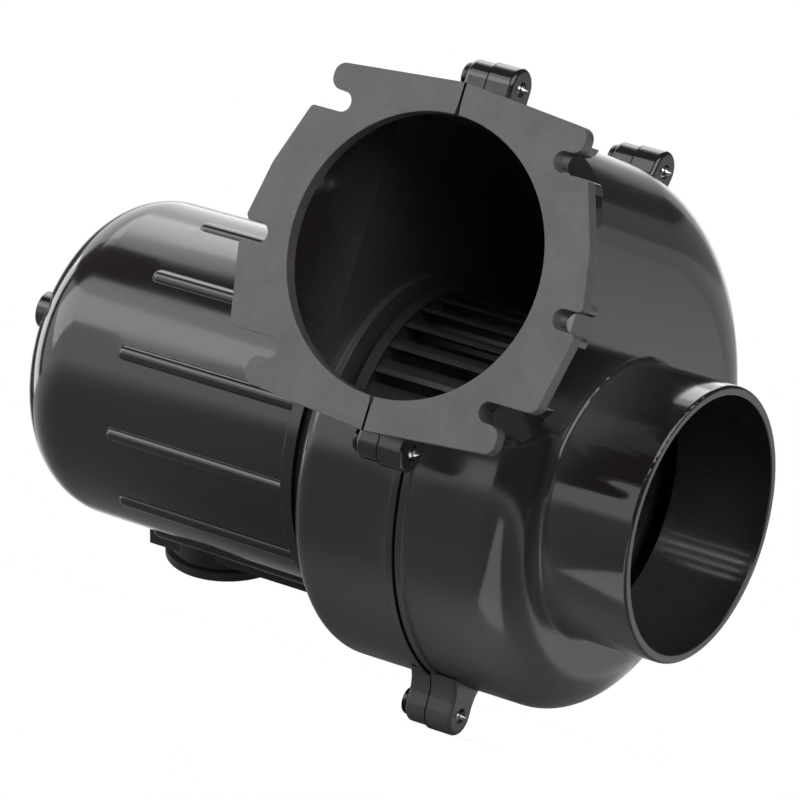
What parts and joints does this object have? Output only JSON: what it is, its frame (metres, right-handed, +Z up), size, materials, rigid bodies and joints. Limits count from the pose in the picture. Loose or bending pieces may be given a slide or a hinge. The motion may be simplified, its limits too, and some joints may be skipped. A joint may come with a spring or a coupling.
{
  "type": "centrifugal blower",
  "caption": "Flange-mount centrifugal blower with a two-half scroll housing, hose spigot inlet, squirrel-cage wheel and ribbed motor cover.",
  "frame": {"origin": "centre of the outlet bore on the face of the mounting flange", "axes": "+X along the fan shaft towards the inlet spigot, -Y out of the outlet through the flange face, +Z up"},
  "size_m": [0.1967, 0.1639, 0.1742],
  "materials": {
    "housing_plastic": "injection-moulded black ABS, semi-gloss",
    "cover_plastic": "injection-moulded black ABS, semi-gloss",
    "impeller_plastic": "injection-moulded black polypropylene",
    "rubber": "moulded black rubber",
    "foam": "closed-cell foam",
    "screw_steel": "zinc-plated steel",
    "zinc_casting": "die-cast zinc",
    "plated_steel": "zinc-plated drawn steel",
    "bronze": "sintered bronze",
    "ferrite": "pressed ferrite",
    "spring_steel": "spring steel strip",
    "card": "phenolic card",
    "brass": "pressed brass",
    "carbon": "pressed carbon",
    "shaft_steel": "ground steel",
    "lamination": "stacked steel laminations",
    "copper_wire": "enamelled copper wire",
    "copper": "drawn copper"
  },
  "bodies": {
    "casing": {"inlet_housing": "housing_plastic", "motor_housing": "housing_plastic", "housing_screws": "screw_steel", "motor_cover": "cover_plastic", "lead_cap": "rubber", "cover_seal": "rubber", "cover_screws": "screw_steel", "motor_gasket": "foam", "motor_screws": "screw_steel", "front_end_cap": "zinc_casting", "front_bearing": "bronze", "motor_can": "plated_steel", "field_magnets": "ferrite", "magnet_clips": "spring_steel", "rear_end_cap": "plated_steel", "rear_bearing": "bronze", "brush_plate": "card", "brush_holders": "brass", "carbon_brushes": "carbon", "brush_springs": "spring_steel", "terminals": "brass", "motor_boot": "rubber"},
    "rotor": {"motor_shaft": "shaft_steel", "armature_core": "lamination", "armature_windings": "copper_wire", "commutator": "copper", "shaft_washers": "shaft_steel", "impeller": "impeller_plastic", "impeller_insert": "brass", "impeller_clip": "spring_steel"}
  },
  "joints": [
    {"name": "rotor_spin", "type": "hinge", "parent": "casing", "child": "rotor", "pos_m": [0, 0.077, -0.0458], "axis": [1, 0, 0], "continuous": true}
  ]
}
